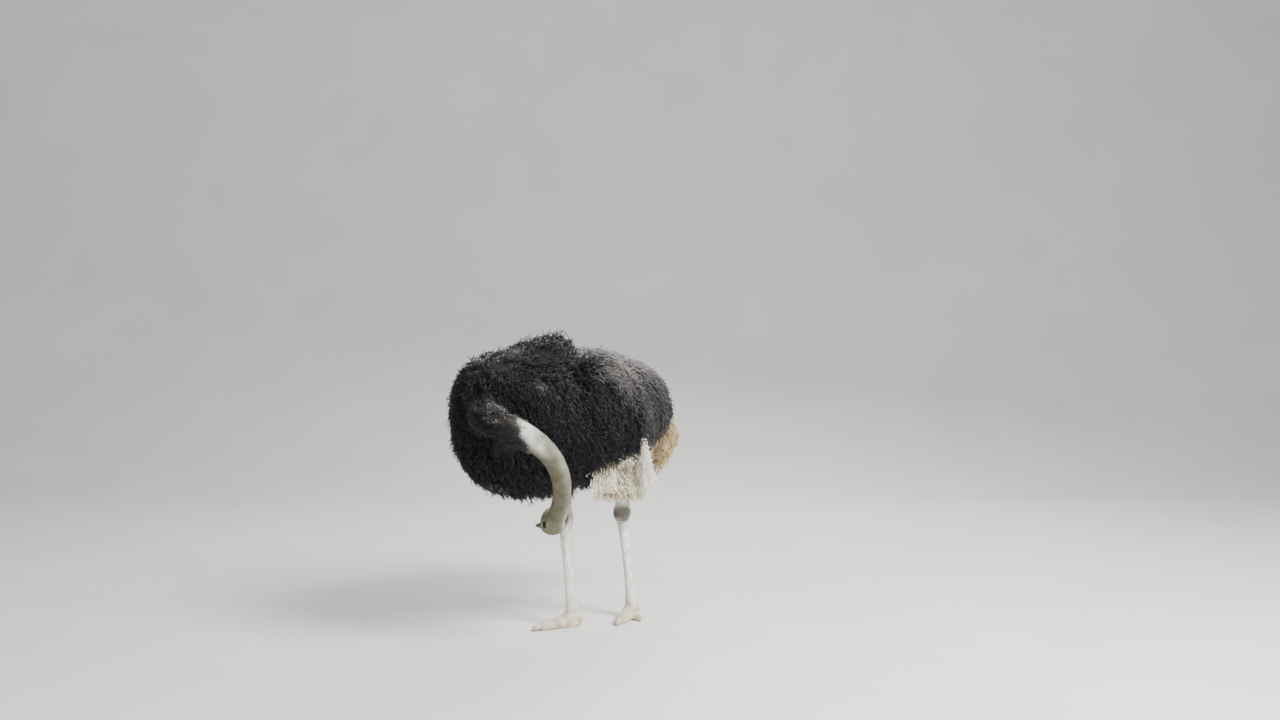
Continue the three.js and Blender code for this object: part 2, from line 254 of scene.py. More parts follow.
def nearest_on(tree, points):
    """For each point, the nearest place, normal and face of a surface."""
    found = [tree.find_nearest(Vector(p)) for p in points]
    places = np.array([hit[0] for hit in found])
    facing = np.array([hit[1] for hit in found])
    return places, facing, np.array([hit[2] for hit in found])


def smoothstep(low, high, values):
    """A soft step from 0 at low to 1 at high."""
    t = np.clip((values - low) / (high - low), 0, 1)
    return t * t * (3 - 2 * t)


# one fixed seed, so that the drifts are the same in every run
noise.seed_set(3)


def waves(points, size, seed):
    """Smooth random vectors that drift with place; size is the width of a drift in metres."""
    shift = Vector((seed * 7.3, seed * 3.1, seed * 5.7))
    return np.array([noise.noise_vector(Vector(p) / size + shift) for p in points])


def tree_of(names):
    """The faces of several CAD solids as one search tree."""
    mesh = joined_solids(names)
    made = BVHTree.FromBMesh(mesh)
    mesh.free()
    return made


solid_points, solid_polygons, face_owner = [], [], []
for name in FLESH:
    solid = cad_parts[name].data
    start = len(solid_points)
    solid_points += [v.co[:] for v in solid.vertices]
    solid_polygons += [[i + start for i in p.vertices] for p in solid.polygons]
    face_owner += [name] * len(solid.polygons)
solid_faces = BVHTree.FromPolygons(solid_points, solid_polygons)
face_owner = np.array(face_owner)
depth_of = np.vectorize(COAT_DEPTH.get)


def owner_of(points):
    """The name of the solid that lies nearest to each point."""
    return face_owner[nearest_on(solid_faces, points)[2]]


# The nape: muscle that fills the corner between the end of the neck and the back of the skull.
UNDER_SWELL = 0.0005
NAPE = Vector((0.262, -0.385, 0.560))
NAPE_REACH = 0.064
nape = joined_solids(["head", "neck_upper"], UNDER_SWELL)
far_off = [v for v in nape.verts if (v.co - NAPE).length > NAPE_REACH]
bmesh.ops.delete(nape, geom=far_off, context="VERTS")
hull = bmesh.ops.convex_hull(nape, input=nape.verts)
inner = {v for v in hull["geom_interior"] if isinstance(v, bmesh.types.BMVert)}
bmesh.ops.delete(nape, geom=list(inner), context="VERTS")
outer_faces = {f for f in hull["geom"] if isinstance(f, bmesh.types.BMFace)}
bmesh.ops.delete(nape, geom=[f for f in nape.faces if f not in outer_faces], context="FACES")
bmesh.ops.recalc_face_normals(nape, faces=nape.faces)
nape_data = bpy.data.meshes.new("nape")
nape.to_mesh(nape_data)
nape.free()
flesh = joined_solids(FLESH + ["eye_right", "eye_left"], UNDER_SWELL)
flesh.from_mesh(nape_data)
bpy.data.meshes.remove(nape_data)
skin = object_from(flesh, "skin")
apply_modifier(skin, "REMESH", mode="VOXEL", voxel_size=SKIN_STEP)
skin_points = points_of(skin)
owner = owner_of(skin_points)
depth = relaxed(skin, depth_of(owner), 14)[:, 0]
bare = np.isin(owner, LEG_NODES + ["head", "neck_upper", "neck_middle"])
softness = np.where(bare, 0.22, 0.5)
skin_points = relaxed(skin, skin_points, 12, softness)
set_points(skin, skin_points)
# The head grows out of the neck, and the neck out of the breast: the hollow between two solids is filled
# until no step is left. Relaxing must not thin the bare parts, so what they lost is given back.


def joint_share(first, second, reach):
    """1 where two solids meet, falling to 0 a reach away from either."""
    gaps = [away_from(nearest_on(tree_of([n]), skin_points)[0], skin_points) for n in (first, second)]
    return 1 - smoothstep(0.3 * reach, reach, np.maximum(*gaps))


nape_share = joint_share("head", "neck_upper", 0.050)
root_share = joint_share("breast", "neck_base", 0.085)
for _ in range(16):
    skin_points, facing = points_of(skin), normals_of(skin)
    eased = relaxed(skin, skin_points, 10, 0.5 * np.maximum(nape_share, root_share))
    rise = ((eased - skin_points) * facing).sum(1)
    set_points(skin, skin_points + facing * np.clip(rise, -0.0004, None)[:, None])
set_points(skin, relaxed(skin, points_of(skin), 16, 0.5 * nape_share))
skin_points, facing = points_of(skin), normals_of(skin)
on_solid, _, _ = nearest_on(solid_faces, skin_points)
lost = np.clip(((on_solid - skin_points) * facing).sum(1), -0.001, 0.006) * bare * (1 - nape_share)
lost = relaxed(skin, lost, 10)[:, 0]
set_points(skin, skin_points + facing * (lost - depth)[:, None])
set_points(skin, relaxed(skin, points_of(skin), 4, softness * 0.5))

# Under the plumes the skin needs few faces. Head, legs and toes get smaller ones, for their folds.
PLUMED_KEEP = 0.03
plumed = skin.vertex_groups.new(name="plumed")
under_plumes = np.flatnonzero(depth > 0.012)
plumed.add(under_plumes.tolist(), 1.0, "REPLACE")
kept_share = 1 - (1 - PLUMED_KEEP) * len(under_plumes) / len(depth)
apply_modifier(skin, "DECIMATE", ratio=kept_share, vertex_group="plumed", vertex_group_factor=1.0)
skin.vertex_groups.clear()
bed_data = skin.data.copy()

# the way each foot points, and the head's own axes, from the eyes and the turn of the bill
HEADINGS = {"right": unit(np.array([-0.3, -0.954, 0.0])), "left": unit(np.array([0.36, -0.933, 0.0]))}
eye_places = [(Vector(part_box(n)[0]) + Vector(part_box(n)[1])) / 2 for n in ("eye_right", "eye_left")]
EYE_RADIUS = (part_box("eye_right")[1][0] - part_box("eye_right")[0][0]) / 2
head_middle = np.array((eye_places[0] + eye_places[1]) / 2)
head_right = unit(np.array(eye_places[0] - eye_places[1]))
billwards = unit(np.array([-0.964, 0.15, -0.2]))
crownwards = np.cross(head_right, billwards)


def in_head(points):
    """Places as forward to the bill, up to the crown and to the bird's right, from between the eyes."""
    away = np.asarray(points) - head_middle
    return np.stack([away @ billwards, away @ crownwards, away @ head_right], axis=1)


def bump(values, middle, reach):
    """A smooth hill of height 1 at middle that ends a reach away."""
    return 1 - smoothstep(0, 1, np.abs(values - middle) / reach)


# head and legs get smaller faces, and the skin round the eyes gets smaller ones still
FINE_ROUND_EYE = 0.027
for part in ("head", "legs", "lids"):
    spots = points_of(skin)
    names = owner_of(spots)
    if part == "lids":
        chosen = (np.hypot(*in_head(spots).T[:2]) < FINE_ROUND_EYE) & (np.abs(in_head(spots)[:, 2]) < 0.08)
        chosen &= names == "head"
    else:
        chosen = names == "head" if part == "head" else np.isin(names, LEG_NODES)
    mesh = bmesh.new()
    mesh.from_mesh(skin.data)
    mesh.verts.ensure_lookup_table()
    fine = [e for e in mesh.edges if chosen[e.verts[0].index] and chosen[e.verts[1].index]]
    bmesh.ops.subdivide_edges(mesh, edges=fine, cuts=1, use_grid_fill=True)
    bmesh.ops.triangulate(mesh, faces=[f for f in mesh.faces if len(f.verts) > 4])
    mesh.to_mesh(skin.data)
    mesh.free()

skin_points = points_of(skin)
skin_owner = owner_of(skin_points)
on_head = skin_owner == "head"
on_leg = np.isin(skin_owner, LEG_NODES)
skin_points = relaxed(skin, skin_points, 6, np.where(on_head | on_leg, 0.45, 0.0))
set_points(skin, skin_points)
facing = normals_of(skin)
height = np.zeros(len(skin_points))

# Head: lids round each eye, a brow over it, the line of the gape, the ear behind and slack throat folds.
LID_LENGTH = 0.0095
LID_HEIGHT = 0.0108
UNDER_LID = 0.0035
BROW_UP = 0.0185
EAR = (-0.034, -0.006)
forward, up, right = in_head(skin_points).T
near_side = on_head & (np.abs(right) > 0.018)
opening = np.hypot(forward / LID_LENGTH, (up - 0.0005) / LID_HEIGHT)
ear = np.hypot(forward - EAR[0], up - EAR[1])
gape_level = -0.0056 - 0.0120 * np.clip((0.055 - forward) / 0.043, 0, 1) ** 1.3
gape_reach = smoothstep(0.008, 0.018, forward)
throat = on_head & (up < -0.030)
folds = np.sin(up / 0.0022 + 3 * waves(skin_points, 0.03, 1)[:, 0])
# in turn: the rim of the lids, the groove round it, the brow, the ear, the gape, the edge of the jaw below
# it, and the folds
for spread, rise in (
    (near_side, 0.0030 * bump(opening, 1.22, 0.34)),
    (near_side, -0.0010 * bump(opening, 1.85, 0.3)),
    (near_side, 0.0018 * bump(up, BROW_UP, 0.007) * bump(forward, -0.002, 0.022)),
    (near_side, 0.0014 * bump(ear, 0.0085, 0.004) - 0.0035 * bump(ear, 0.0, 0.0065)),
    (on_head, -0.0022 * bump(up, gape_level, 0.0022) * gape_reach),
    (on_head, 0.0010 * bump(up, gape_level - 0.0042, 0.0034) * gape_reach),
    (throat, 0.0004 * folds),
):
    height += np.where(spread, rise, 0)
skin_points += facing * height[:, None]
# the lids lie round the ball of the eye, and inside their edge the skin turns in under it
for eye_place, on_side in zip(eye_places, (right > 0, right <= 0)):
    from_ball = skin_points - np.array(eye_place)
    distance = np.linalg.norm(from_ball, axis=1)
    lid = near_side & on_side & (opening >= 0.94) & (opening < 2.2)
    over_ball = EYE_RADIUS + 0.0022 - 0.0008 * np.clip(opening - 1.0, 0, 1)
    lifted = np.where(lid, np.maximum(over_ball - distance, 0), 0)
    skin_points += from_ball / distance[:, None] * lifted[:, None]
    under = near_side & on_side & (opening < 0.94)
    sink = np.where(under, np.minimum(EYE_RADIUS - UNDER_LID - distance, 0), 0)
    skin_points += from_ball / distance[:, None] * sink[:, None]

# Legs: tall plates down the front of the shin and over each toe, loose rings round the hock.
PLATE_TALL = 0.0125
TOE_PLATE = 0.0095
BETWEEN_LEGS = 0.09
HOCK_LOW = 0.44
HOCK_MIDDLE = 0.50
FLOOR_GAP = 0.0002
leg_side = np.where(skin_points[:, 1] > BETWEEN_LEGS, "left", "right")
leg_heading = np.array([HEADINGS[s] for s in leg_side])
in_front = smoothstep(0.25, 0.65, (facing * leg_heading).sum(1))
on_shin = np.isin(skin_owner, ["tarsus_right", "tarsus_left"])
plate_drift = waves(skin_points, 0.05, 2)
plate = skin_points[:, 2] / PLATE_TALL + 0.5 * plate_drift[:, 0]
seam = np.abs(plate - np.round(plate)) * 2
shin_cover = on_shin * in_front * smoothstep(0.085, 0.11, skin_points[:, 2])
legs_height = -0.0013 * (1 - smoothstep(0.0, 0.34, seam)) * shin_cover * (0.75 + 0.6 * plate_drift[:, 1])
on_toe = np.isin(skin_owner, ["toe_big_right", "toe_big_left", "toe_outer_right", "toe_outer_left"])
toe_along = (skin_points * leg_heading).sum(1) / TOE_PLATE
toe_seam = np.abs(toe_along - np.round(toe_along)) * 2
toe_top = on_toe * smoothstep(0.35, 0.7, facing[:, 2])
legs_height += -0.0015 * (1 - smoothstep(0.0, 0.36, toe_seam)) * toe_top
on_hock = on_leg & (skin_points[:, 2] > HOCK_LOW)
rings = np.sin(skin_points[:, 2] / 0.0019 + 2.5 * waves(skin_points, 0.04, 3)[:, 0])
legs_height += np.where(on_hock, 0.0006 * rings, 0)
pebbles = waves(skin_points, 0.006, 4)[:, 0]
legs_height += np.where(on_leg & (skin_points[:, 2] > 0.004), 0.0005 * pebbles, 0)
skin_points += facing * legs_height[:, None]
skin_points[:, 2] = np.maximum(skin_points[:, 2], FLOOR_GAP)
set_points(skin, skin_points)
smooth_faces(skin.data)

# The markings that skin and coat share. Every colour is one of the real bird's own tones; some are laid
# where light falls or shade lies, as painted light and painted shade.
TONES = {
    "black": ("050506", "25242a"), "grey": ("2b2929", "a8a39e"), "cream": ("d0c29c", "fff8e0"),
    "stained": ("5e4223", "b5925c"), "straw": ("8a6f3a", "e2cc98"), "white": ("e8e1ce", "fffdf4"),
    "neck": ("45432f", "7b785f"), "pale_neck": ("b9b6a8", "f4f3ec"), "brown": ("2e251f", "75685b"),
    "head": ("57563c", "8e8d6b"), "leg": ("c0b9ae", "f8f4ec"), "hock": ("504c47", "8d887e"),
    "toe": ("b29c86", "e8dcc8"), "bill": ("26292c", "5d646a"),
}


def pigment(hex_text):
    """A hex colour as a linear row of three."""
    return np.array(srgb(hex_text)[:3])


def mixed(first, second, share):
    """Two sets of colours blended by a share for each."""
    share = np.atleast_1d(share)[:, None]
    return first * (1 - share) + second * share


def tone(name, shade):
    """A tone between its dark and its light end."""
    dark_end, light_end = TONES[name]
    return mixed(pigment(dark_end), pigment(light_end), np.clip(shade, 0, 1))


def add_marking(piece, colours):
    """Stores a colour for each vertex of a piece, which its material reads."""
    layer = piece.data.color_attributes.new("marking", "FLOAT_COLOR", "POINT")
    full = np.ones((len(colours), 4), dtype=np.float32)
    full[:, :3] = colours
    layer.data.foreach_set("color", full.ravel())


NECK_LINE = np.array([
    (-0.023, -0.459, 0.996), (0.042, -0.599, 1.015), (0.157, -0.661, 0.993), (0.275, -0.637, 0.947),
    (0.357, -0.595, 0.899), (0.390, -0.539, 0.826), (0.372, -0.477, 0.736), (0.318, -0.419, 0.649),
    (0.280, -0.384, 0.569),
])
NECK_STEPS = 160
neck_fine = np.stack([
    np.interp(np.linspace(0, 8, NECK_STEPS + 1), np.arange(9), NECK_LINE[:, axis]) for axis in range(3)
], axis=1)


def neck_step(place):
    """The nearest of the steps along the neck: 0 at the breast, NECK_STEPS at the head."""
    return np.argmin(((place[:, None] - neck_fine[None]) ** 2).sum(-1), axis=1)


DARK_TO_PALE = (0.47, 0.375)
# the side of the neck that faces the light, and its outer side, which the key light falls on: both are
# painted lighter, as painted highlight
LIT_SIDE = unit(np.array([0.75, 0.1, 0.65]))
LIT_OUTER_SIDE = unit(np.array([0.80, 0.55, 0.1]))


def dark_share(place, facing):
    """How dark the neck is: black plumes reach further along its under side than along its top."""
    upper = smoothstep(-0.6, 0.7, facing[:, 2])
    edge = DARK_TO_PALE[0] + (DARK_TO_PALE[1] - DARK_TO_PALE[0]) * upper
    past = neck_step(place) / NECK_STEPS - edge + 0.03 * waves(place, 0.03, 79)[:, 0]
    return 1 - smoothstep(-0.02, 0.03, past), past


def neck_colours(place, facing, shade):
    """The neck: black at its root, then white down, painted only where light falls, fading to olive grey
    with an outer side painted paler as highlight.
    """
    dark, past = dark_share(place, facing)
    # the white down is kept to the side that faces the light: a real pale fringe, painted only where it is
    # lit
    white = (1 - smoothstep(0.02, 0.16, past)) * smoothstep(-0.7, 0.5, facing @ LIT_SIDE)
    # the outer side, which faces the key light, is painted paler, most near the head: a painted highlight
    outer = smoothstep(0.25, 0.95, facing @ LIT_OUTER_SIDE) * (0.16 + 0.56 * smoothstep(0.80, 1.0, past + 0.4))
    pale = mixed(tone("neck", shade), tone("pale_neck", shade), np.maximum(white, outer))
    # the top of the black root is painted browner: brown hair, and a painted highlight where light falls
    # from above
    lit_brown_top = smoothstep(0.0, 0.8, facing[:, 2]) * smoothstep(-0.28, -0.12, past)
    blackish = mixed(tone("black", shade), tone("brown", shade), 0.3 * lit_brown_top)
    return mixed(pale, blackish, dark)


patches = waves(skin_points, 0.035, 5)
shade = np.clip(0.5 + 0.9 * patches[:, 0], 0, 1)
# under the plumes the skin is painted near black: painted shade deep in the coat
colours = tone("black", shade)
thigh_skin = np.isin(skin_owner, ["thigh_right", "thigh_left"])
colours[thigh_skin] = tone("cream", shade)[thigh_skin]
crown = smoothstep(0.004, 0.032, up)
neck_shade = np.clip(0.5 + 0.45 * patches[:, 0], 0, 1)
on_neck = neck_colours(skin_points, facing, neck_shade)
lid_edge = np.where(near_side, bump(opening, 0.98, 0.20), 0)
lore = near_side * bump(forward, 0.022, 0.009) * bump(up, 0.0, 0.014)
behind_eye = near_side * bump(forward, -0.017, 0.006) * bump(up, 0.0, 0.016)
# the skin round the root of the bill takes the bill's colour, darkened as painted shade there
round_bill = smoothstep(0.038, 0.050, forward) * (1 - lore)
# the outer side of head and nape, facing the key light, is painted paler: a painted highlight
lit_nape_band = smoothstep(0.35, 0.9, facing @ LIT_OUTER_SIDE)
head_colours = tone("head", neck_shade)
for name, its_shade, share in (
    ("brown", neck_shade, crown * 0.35),
    ("pale_neck", 0.5, np.clip(0.85 * lore + 0.4 * behind_eye, 0, 1)),
    ("bill", neck_shade * 0.6, 0.7 * round_bill),
    ("black", neck_shade * 0.4, np.clip(lid_edge * 1.3, 0, 1) * 0.95),
    # the skin inside the lids, turned in under the ball, is painted black as shade
    ("black", neck_shade * 0.2, np.where(near_side, opening < 1.0, 0)),
    ("pale_neck", 0.3 * neck_shade, 0.45 * lit_nape_band),
):
    head_colours = mixed(head_colours, tone(name, its_shade), share)
head_share = relaxed(skin, np.where(on_head, 1.0, 0.0), 50)[:, 0]
head_colours = mixed(on_neck, head_colours, smoothstep(0.1, 0.9, head_share))
neck_skin = np.isin(skin_owner, ["head", "neck_upper", "neck_middle", "neck_base"])
colours[neck_skin] = head_colours[neck_skin]
hock_share = bump(skin_points[:, 2], HOCK_MIDDLE, 0.07)
toe_share = 1 - smoothstep(0.05, 0.12, skin_points[:, 2])
calm = 0.5 + 0.5 * shade
streaks = waves(skin_points * (1, 1, 0.22), 0.016, 6)[:, 0]
# the hock tone also comes in patches and streaks along the legs, and on the sides that face back, which is
# painted shade
retinted = np.clip(0.35 - (facing * leg_heading).sum(1) * 0.5 + 0.5 * patches[:, 1] + 0.7 * streaks, 0, 0.8)
# the hock is darker in blotches, its own colour, and darker on its front, which is painted shade
ahead = smoothstep(-0.35, 0.55, (facing * leg_heading).sum(1))
blotched_and_shaded = np.clip(hock_share * (0.25 + 1.1 * ahead + 0.7 * patches[:, 2]), 0, 1)
leg_colours = mixed(tone("leg", calm), tone("hock", 0.5 * calm), np.maximum(blotched_and_shaded, 0.5 * retinted))
leg_colours = mixed(leg_colours, tone("toe", 0.05 + 0.75 * shade), toe_share)
# the grooves between the plates and other dents take the dark hock tone by their depth: painted shade
crease_shade = np.clip(-legs_height / 0.0015, 0, 1)
leg_colours = mixed(leg_colours, tone("hock", shade), 0.75 * crease_shade)
colours[on_leg] = leg_colours[on_leg]
add_marking(skin, relaxed(skin, colours, 2, np.where(on_head | on_leg, 0.0, 0.5)))

# Bird skin: thin, dry and finely creased, with small scales about six millimetres wide. The creases are
# under half a millimetre deep, and it has the weak, broad gloss of leather.
def mottled(tree, shader, scale, detail, spread, strength):
    """Colours a shader by its piece's markings times a fine noise. spread is the range of the noise that
    counts, strength what it turns into. Gives back the piece's coordinates and the noise."""
    marking = add_node(tree, "ShaderNodeAttribute", {"attribute_name": "marking"})
    place = add_node(tree, "ShaderNodeTexCoord").outputs["Object"]
    grain = add_node(tree, "ShaderNodeTexNoise", {"Scale": scale, "Detail": detail}, {"Vector": place})
    limits = {"From Min": spread[0], "From Max": spread[1], "To Min": strength[0], "To Max": strength[1]}
    mottle = add_node(tree, "ShaderNodeMapRange", limits, {"Value": grain.outputs["Fac"]})
    tinted = add_node(
        tree, "ShaderNodeVectorMath", {"operation": "SCALE"},
        {"Vector": marking.outputs["Color"], "Scale": mottle.outputs["Result"]},
    )
    tree.links.new(tinted.outputs["Vector"], shader.inputs["Base Color"])
    return place, grain.outputs["Fac"]


skin_finish, tree, shader = new_finish(
    "bird_skin", Roughness=0.62, Specular_IOR_Level=0.30, Subsurface_Weight=0.06,
    Subsurface_Radius=(0.006, 0.003, 0.002),
)
place, creases = mottled(tree, shader, scale=240, detail=4, spread=(0.35, 0.7), strength=(0.82, 1.14))
scales = add_node(tree, "ShaderNodeTexVoronoi", {"Scale": 170}, {"Vector": place})
relief = add_node(tree, "ShaderNodeMath", {"operation": "ADD"}, {0: scales.outputs["Distance"], 1: creases})
bumped = add_node(
    tree, "ShaderNodeBump", {"Strength": 0.35, "Distance": 0.0012}, {"Height": relief.outputs["Value"]}
)
tree.links.new(bumped.outputs["Normal"], shader.inputs["Normal"])
skin.data.materials.clear()
skin.data.materials.append(skin_finish)
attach(skin, "root")
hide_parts(*FLESH)

# The bed of the coat: a light copy of the skin that tells where each plume is rooted, and whose unwrap
# gives each tuft its own patch in the OFBake map.
BED_SHARE = 0.44
bed = placed("coat_bed", bed_data)
apply_modifier(bed, "DECIMATE", ratio=BED_SHARE)
bed.data.uv_layers.new(name="unwrap")
bpy.ops.object.mode_set(mode="EDIT")
bpy.ops.mesh.select_all(action="SELECT")
bpy.ops.mesh.quads_convert_to_tris()
bpy.ops.uv.smart_project(angle_limit=math.radians(66), island_margin=0.002)
bpy.ops.object.mode_set(mode="OBJECT")
bed_faces = table_of(bed.data.polygons, "vertices", 3, np.int32)
bed_points = points_of(bed)
bed_facing = normals_of(bed)
bed_map = table_of(bed.data.uv_layers["unwrap"].data, "uv", 2).reshape(-1, 3, 2)
bed_corners = bed_points[bed_faces]
bed_crossed = np.cross(bed_corners[:, 1] - bed_corners[:, 0], bed_corners[:, 2] - bed_corners[:, 0])
bed_area = np.linalg.norm(bed_crossed, axis=1) / 2
bed_owner = owner_of(bed_corners.mean(1))
bpy.data.objects.remove(bed)
bed_tree = BVHTree.FromPolygons(bed_points.tolist(), bed_faces.tolist())


class Roots:
    """Where tufts are rooted: places, facings, places on the unwrap, and the solid each lies in."""

    def __init__(self, place, facing, on_map, owner):
        self.place, self.facing, self.on_map, self.owner = place, facing, on_map, owner

    def where(self, chosen):
        return Roots(self.place[chosen], self.facing[chosen], self.on_map[chosen], self.owner[chosen])


def scatter(solids, spacing, seed):
    """Roots about one spacing apart all over the bed inside the named solids."""
    dice = np.random.default_rng(seed)
    inside = np.flatnonzero(np.isin(bed_owner, solids))
    area = bed_area[inside]
    tries = int(area.sum() / spacing ** 2 * 5)
    face = inside[dice.choice(len(inside), tries, p=area / area.sum())]
    a, b = dice.random((2, tries))
    over = a + b > 1
    a[over], b[over] = 1 - a[over], 1 - b[over]
    share = np.stack([1 - a - b, a, b], axis=1)[:, :, None]
    place = (bed_points[bed_faces[face]] * share).sum(1)
    cell = np.floor(place / spacing + dice.random(3)).astype(int)
    _, kept = np.unique(cell, axis=0, return_index=True)
    kept = np.sort(kept)
    facing = unit((bed_facing[bed_faces[face[kept]]] * share[kept]).sum(1))
    return Roots(place[kept], facing, (bed_map[face[kept]] * share[kept]).sum(1), bed_owner[face[kept]])


def lie_of_trunk(place, facing):
    """Which way the plumes lie: back over the spine, down and back on the sides, down in front."""
    top = np.maximum(facing[:, 2], 0) ** 2
    under = np.maximum(-facing[:, 2], 0)
    lie = np.zeros_like(place)
    lie[:, 1] = 0.34 + 0.9 * top + 0.35 * under
    lie[:, 2] = -(1 - top)
    lie[:, 0] = 0.25 * np.sign(place[:, 0]) * top
    return lie


def lie_of_neck(place, facing):
    """Along the neck towards the body."""
    near = neck_step(place)
    return unit(neck_fine[np.maximum(near - 6, 0)] - neck_fine[np.minimum(near + 6, NECK_STEPS)])


def lie_of_body(place, facing):
    """The lie over the trunk, which over the root of the neck turns to run down the neck."""
    on_neck = 1 - smoothstep(0.02, 0.07, away_from(neck_fine[neck_step(place)], place) - 0.10)
    on_neck = (on_neck * (place[:, 1] < -0.50))[:, None]
    return lie_of_trunk(place, facing) * (1 - on_neck) + lie_of_neck(place, facing) * on_neck


ROOT_DEPTH = 0.004


def laid(roots, lie, length, lift, steps=4, hang=0.0, seed=0):
    """Paths that leave the skin at their roots and then follow the body at a height. hang lets the far
    end fall free of it."""
    dice = np.random.default_rng(seed)
    count = len(roots.place)
    length = np.broadcast_to(length, (count,))[:, None]
    lift = np.broadcast_to(lift, (count,))[:, None]
    hang = np.broadcast_to(hang, (count,))[:, None]
    here, facing = roots.place.copy(), roots.facing.copy()
    drift = waves(roots.place, 0.075, seed + 11) * 0.55 + dice.normal(0, 0.16, (count, 3))
    path, facings = [here - facing * ROOT_DEPTH], [facing]
    heading = unit(lie(here, facing) + drift)
    for step in range(1, steps + 1):
        heading = heading - facing * (heading * facing).sum(1, keepdims=True)
        heading = unit(heading)
        ahead = here + heading * length / steps
        on_body, new_facing, _ = nearest_on(bed_tree, ahead)
        rise = lift * min(1.0, (step / steps * 2.1)) ** 0.7
        free = np.minimum(hang * (step / steps) ** 2, 1.0)
        fallen = path[-1] + unit(heading * (1 - free) + np.array([0, 0, -1.0]) * free) * length / steps
        raised = on_body + new_facing * rise
        path.append(raised * (1 - free) + fallen * free)
        facings.append(new_facing)
        here, facing = on_body, new_facing
        heading = unit(heading * 0.7 + unit(lie(here, facing) + drift) * 0.3)
    return np.stack(path, axis=1), np.stack(facings, axis=1)


def drawn_in(path, tree, overhang):
    """Paths shortened until their tips stand no further out of the solids than the overhang."""
    overhang = np.broadcast_to(overhang, (len(path),))
    for _ in range(6):
        tips = path[:, -1]
        on_solid, out, _ = nearest_on(tree, tips)
        far = ((tips - on_solid) * out).sum(1) > overhang
        path[far] = path[far, :1] + (path[far] - path[far, :1]) * 0.8
    return path


def along_path(path, share):
    """The places at a share of the way along each path, for each of several shares."""
    steps = path.shape[1] - 1
    at = np.clip(share * steps, 0, steps - 1e-6)
    low = at.astype(int)
    rest = (at - low)[..., None]
    row = np.arange(len(path))[:, None]
    return path[row, low] * (1 - rest) + path[row, low + 1] * rest


def barbed(path, facings, barbs, reach, width, curl, seed):
    """The barb locks of plumes along their shafts: each lock's path, outward side and width."""
    dice = np.random.default_rng(seed)
    count = len(path)
    share = (np.arange(barbs) + dice.random((count, barbs))) / barbs
    share = 0.06 + 0.94 * share
    side = np.where(np.arange(barbs) % 2 == 0, 1.0, -1.0)[None, :, None]
    start = along_path(path, share)
    along = unit(along_path(path, np.minimum(share + 0.12, 1.0)) - along_path(path, share - 0.12))
    outward = unit(along_path(facings, share))
    across = unit(np.cross(along, outward)) * side
    spread = np.radians(58 - 42 * share + dice.normal(0, 9, share.shape))[..., None]
    swing = dice.normal(0.16, 0.16, share.shape)[..., None]
    first = unit(along * np.cos(spread) + across * np.sin(spread) + outward * swing)
    size = reach * (0.62 + 0.38 * np.sin(np.pi * share)) * dice.uniform(0.7, 1.25, share.shape)
    size = size[..., None]
    bend = dice.normal(0, curl, (count, barbs, 3))
    second = unit(first * 0.45 + along * 0.75 - outward * 0.10 + bend)
    third = unit(second * 0.6 + along * 0.35 - outward * 0.22 + dice.normal(0, curl, (count, barbs, 3)))
    knee = start + first * size * 0.34
    bow = knee + second * size * 0.36
    tip = bow + third * size * 0.34
    locks = np.stack([start, knee, bow, tip], axis=2)
    wide = width * dice.uniform(0.7, 1.3, share.shape)
    return locks, outward, wide


TUFT_PATCH = 0.003


